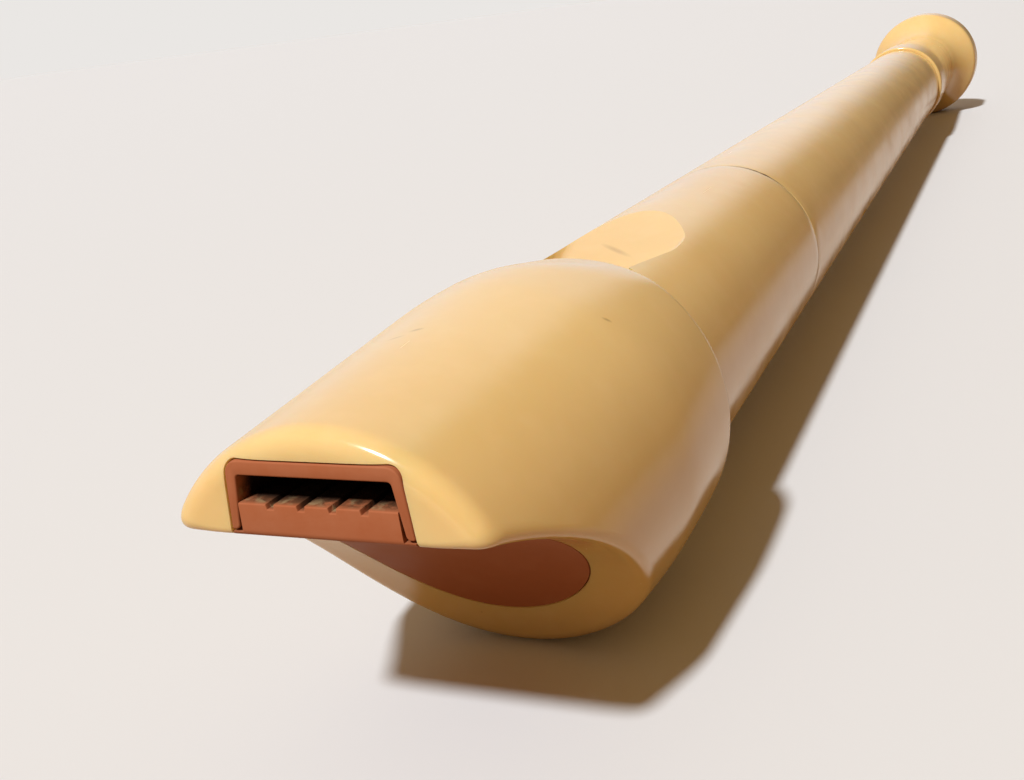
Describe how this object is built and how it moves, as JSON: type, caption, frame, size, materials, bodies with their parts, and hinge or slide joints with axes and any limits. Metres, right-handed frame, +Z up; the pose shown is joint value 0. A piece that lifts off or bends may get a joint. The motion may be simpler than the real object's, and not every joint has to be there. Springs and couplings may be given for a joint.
{
  "type": "recorder",
  "caption": "Soprano recorder with a bulbous beak, a lined windway over a removable block, cork-lapped joints that turn and pull apart, dished finger holes and a flared bell.",
  "frame": {"origin": "middle of the length, below the pipe's axis, on the surface that the recorder lies on", "axes": "+X along the pipe from the beak to the bell, +Z up through the window, +Y to the left seen from the beak"},
  "size_m": [0.325, 0.0268, 0.0268],
  "materials": {
    "ivory_plastic": "moulded, polished, cream",
    "terracotta_plastic": "moulded, satin, terracotta",
    "cork": "cut and sanded cork"
  },
  "bodies": {
    "middle": {"middle_joint": "ivory_plastic"},
    "head_ring": {"head_tenon_cork": "cork"},
    "head": {"head_shell": "ivory_plastic", "windway_liner": "terracotta_plastic"},
    "block": {"block": "terracotta_plastic"},
    "foot_ring": {"foot_tenon_cork": "cork"},
    "foot": {"foot_joint": "ivory_plastic"}
  },
  "joints": [
    {"name": "head_turn", "type": "hinge", "parent": "middle", "child": "head_ring", "pos_m": [-0.085, 0, 0.0134], "axis": [1, 0, 0], "continuous": true},
    {"name": "head_pull", "type": "slide", "parent": "head_ring", "child": "head", "axis": [-1, 0, 0], "range_m": [0, 0.03]},
    {"name": "block_push", "type": "slide", "parent": "head", "child": "block", "axis": [-1, 0, 0], "range_m": [0, 0.04]},
    {"name": "foot_turn", "type": "hinge", "parent": "middle", "child": "foot_ring", "pos_m": [0.103, 0, 0.0134], "axis": [1, 0, 0], "continuous": true},
    {"name": "foot_pull", "type": "slide", "parent": "foot_ring", "child": "foot", "axis": [1, 0, 0], "range_m": [0, 0.025]}
  ]
}
